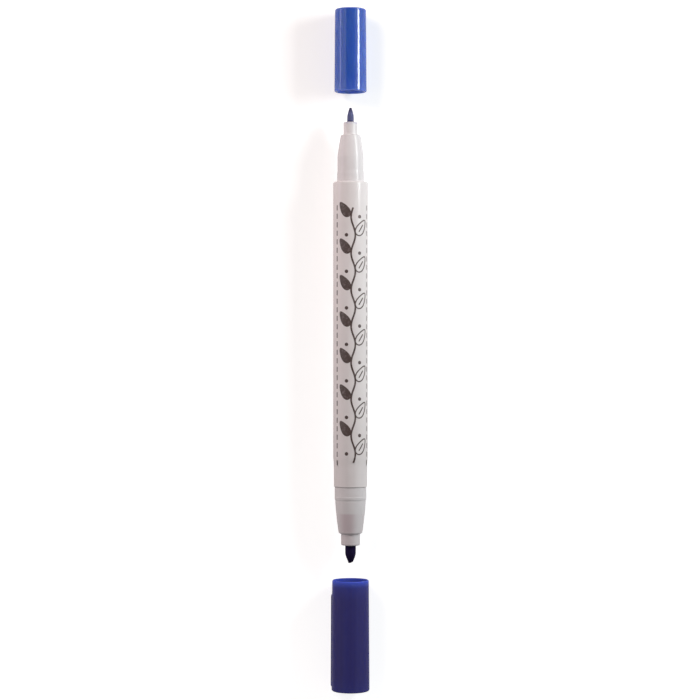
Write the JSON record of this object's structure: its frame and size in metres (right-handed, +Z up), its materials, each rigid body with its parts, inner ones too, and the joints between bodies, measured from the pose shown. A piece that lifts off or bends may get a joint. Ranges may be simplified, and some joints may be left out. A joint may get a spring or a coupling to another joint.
{
  "type": "fabric marking pen",
  "caption": "Double-ended fibre-tip marking pen: white barrel, fine and broad nibs, inner ink core, and pull-off blue caps, the longer one with a pocket clip.",
  "frame": {"origin": "on the table under the pen's axis, half way along the row of cap, pen and cap as it is laid out", "axes": "+Y along the pen towards its fine end, +Z up from the table, +X to the right in a view from above with the fine end at the top"},
  "size_m": [0.0109, 0.1908, 0.0106],
  "materials": {
    "barrel_white": "satin moulded plastic with a dark print",
    "nose_white": "satin moulded plastic",
    "fine_cap_blue": "glossy, slightly see-through blue",
    "broad_cap_blue": "glossy deep blue",
    "liner_plastic": "natural, milky",
    "fine_nib_fibre": "pressed fibre, stained by ink",
    "broad_nib_fibre": "pressed fibre soaked with ink",
    "core_fibre": "loose fibre soaked with ink",
    "core_film": "thin clear film"
  },
  "bodies": {
    "pen": {"barrel": "barrel_white", "fine_nose": "nose_white", "broad_nose": "nose_white", "fine_nib": "fine_nib_fibre", "broad_nib": "broad_nib_fibre", "ink_reservoir": "core_fibre", "reservoir_film": "core_film"},
    "fine_end_cap": {"fine_cap": "fine_cap_blue", "fine_cap_liner": "liner_plastic"},
    "broad_end_cap": {"broad_cap": "broad_cap_blue", "broad_cap_liner": "liner_plastic"}
  },
  "joints": [
    {"name": "fine_cap_slide", "type": "slide", "parent": "pen", "child": "fine_end_cap", "axis": [0, -1, 0], "range_m": [0, 0.0251]},
    {"name": "broad_cap_slide", "type": "slide", "parent": "pen", "child": "broad_end_cap", "axis": [0, 1, 0], "range_m": [0, 0.03135]}
  ]
}
